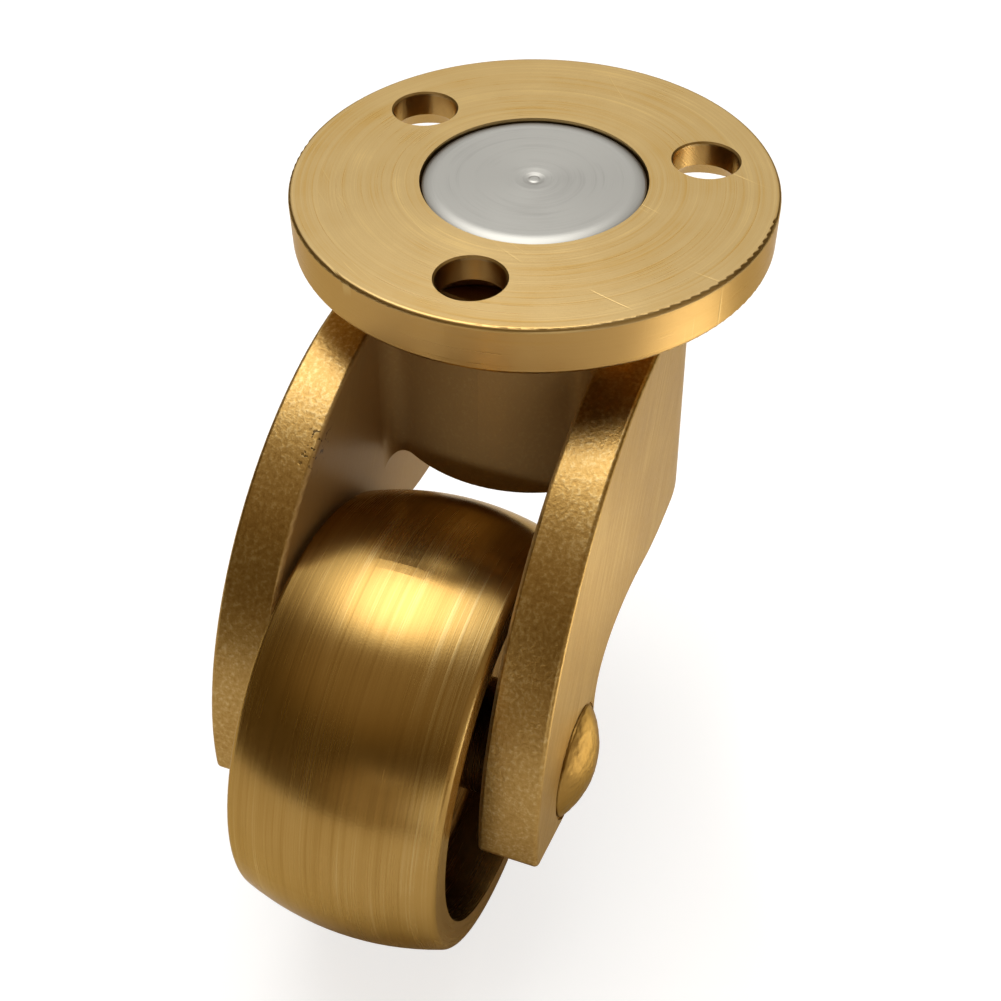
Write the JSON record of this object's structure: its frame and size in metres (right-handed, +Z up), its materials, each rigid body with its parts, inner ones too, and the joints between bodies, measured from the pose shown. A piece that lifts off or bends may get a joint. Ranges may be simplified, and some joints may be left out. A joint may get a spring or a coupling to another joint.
{
  "type": "brass plate castor",
  "caption": "Brass plate castor: a round screw plate, a horn that swivels on a flush steel kingpin, and a crowned barrel wheel on a domed rivet axle.",
  "frame": {"origin": "centre of the screw plate's top face, on the swivel axis", "axes": "+Z up into the furniture along the swivel axis, +X the way the wheel trails, Y along the axle"},
  "size_m": [0.0685, 0.04, 0.0539],
  "materials": {
    "plate_brass": "turned satin",
    "horn_brass": "satin cast",
    "wheel_brass": "fine circumferential brushing",
    "rivet_brass": "satin",
    "washer_brass": "satin",
    "pin_steel": "turned satin"
  },
  "bodies": {
    "plate": {"top_plate": "plate_brass"},
    "horn": {"horn": "horn_brass", "kingpin": "pin_steel", "head_washer": "washer_brass", "thrust_washer": "washer_brass", "tail_washer": "washer_brass", "axle_rivet": "rivet_brass", "axle_washer_left": "washer_brass", "axle_washer_right": "washer_brass"},
    "wheel": {"wheel": "wheel_brass"}
  },
  "joints": [
    {"name": "swivel", "type": "hinge", "parent": "plate", "child": "horn", "pos_m": [0, 0, 0], "axis": [0, 0, 1], "continuous": true},
    {"name": "wheel_spin", "type": "hinge", "parent": "horn", "child": "wheel", "pos_m": [0.0296, 0, -0.035], "axis": [0, 1, 0], "continuous": true}
  ]
}
